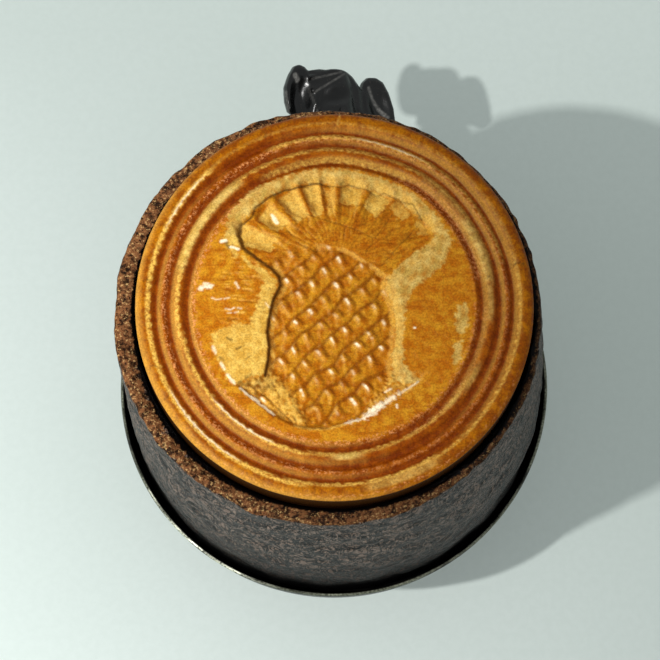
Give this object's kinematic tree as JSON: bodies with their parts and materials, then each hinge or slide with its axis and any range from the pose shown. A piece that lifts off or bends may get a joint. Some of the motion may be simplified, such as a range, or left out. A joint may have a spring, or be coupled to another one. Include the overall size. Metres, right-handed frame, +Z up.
{
  "type": "butter mold",
  "caption": "Round plunger butter mold: a turned case slides on a rod that carries a carved print, a drip pan and a handle, and a wing screw locks it.",
  "frame": {"origin": "centre of the handle's flat foot, which the mold stands on", "axes": "+Z up along the plunger rod, +Y towards the wing screw behind the case, +X to the right seen from the front"},
  "size_m": [0.123, 0.1528, 0.156],
  "materials": {
    "print_wood": "amber varnish over carved wood",
    "handle_wood": "oiled",
    "case_varnish": "crackled black varnish, worn brown at the rim",
    "pan_enamel": "black paint, worn bright at the rim",
    "black_iron": "black paint over castings",
    "plain_steel": "dull",
    "bush_brass": "dull",
    "seal_leather": "worn"
  },
  "bodies": {
    "plunger": {"print_disc": "print_wood", "plunger_rod": "handle_wood", "handle_grip": "handle_wood", "handle_pin": "handle_wood", "drip_pan": "pan_enamel", "pan_screw_1": "plain_steel", "pan_screw_2": "plain_steel", "pan_screw_3": "plain_steel", "clamp_arm": "black_iron", "arm_rivet_1": "black_iron", "arm_rivet_2": "black_iron"},
    "seal": {"rod_seal": "seal_leather"},
    "case": {"case_barrel": "case_varnish", "case_floor": "handle_wood", "floor_brad_1": "plain_steel", "floor_brad_2": "plain_steel", "floor_brad_3": "plain_steel", "floor_brad_4": "plain_steel", "floor_brad_5": "plain_steel", "floor_brad_6": "plain_steel", "floor_bush": "bush_brass", "seal_retainer": "bush_brass", "retainer_screw_1": "bush_brass", "retainer_screw_2": "bush_brass", "retainer_screw_3": "bush_brass", "retainer_screw_4": "bush_brass"},
    "pad": {"clamp_pad": "black_iron", "pad_facing": "seal_leather"},
    "wing_screw": {"wing_head": "black_iron", "screw_shank": "plain_steel", "wing_pin": "plain_steel"}
  },
  "joints": [
    {"name": "case_lift", "type": "slide", "parent": "plunger", "child": "seal", "axis": [0, 0, 1], "range_m": [0, 0.08]},
    {"name": "case_turn", "type": "hinge", "parent": "seal", "child": "case", "pos_m": [0, 0, 0.0987], "axis": [0, 0, 1], "continuous": true},
    {"name": "pad_feed", "type": "slide", "parent": "plunger", "child": "pad", "axis": [0, 1, 0], "range_m": [0, 0.003]},
    {"name": "wing_turn", "type": "hinge", "parent": "pad", "child": "wing_screw", "pos_m": [0, 0.0823, 0.0705], "axis": [0, 1, 0], "range_deg": [0, 720]}
  ],
  "couplings": [
    {"joint": "wing_turn", "follows": "pad_feed", "rad_per_m": 4188.8}
  ]
}
